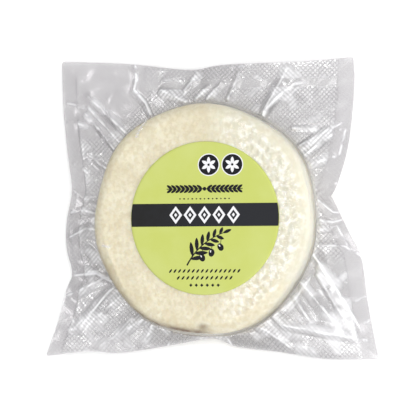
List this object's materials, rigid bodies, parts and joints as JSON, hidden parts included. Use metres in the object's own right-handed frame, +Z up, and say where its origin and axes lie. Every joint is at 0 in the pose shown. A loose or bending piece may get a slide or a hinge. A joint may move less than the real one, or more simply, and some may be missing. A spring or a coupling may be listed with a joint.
{
  "type": "vacuum-packed feta cheese round",
  "caption": "Round of fresh white cheese sealed in a clear embossed vacuum pouch with a pleated skirt and a plain round label.",
  "frame": {"origin": "on the surface the pack lies on, under the middle of its box", "axes": "+Z up out of the labelled face, +Y towards the top of the label, +X to the label's right"},
  "size_m": [0.1728, 0.151, 0.0238],
  "materials": {
    "film": "clear embossed vacuum film drawn tight over a cream-white cheese round",
    "cheese": "moist cream-white pressed curd",
    "label": "satin printed sticker, yellow-green with plain dark and white shapes"
  },
  "bodies": {
    "root": {"pouch": "film", "label": "label"}
  },
  "joints": []
}
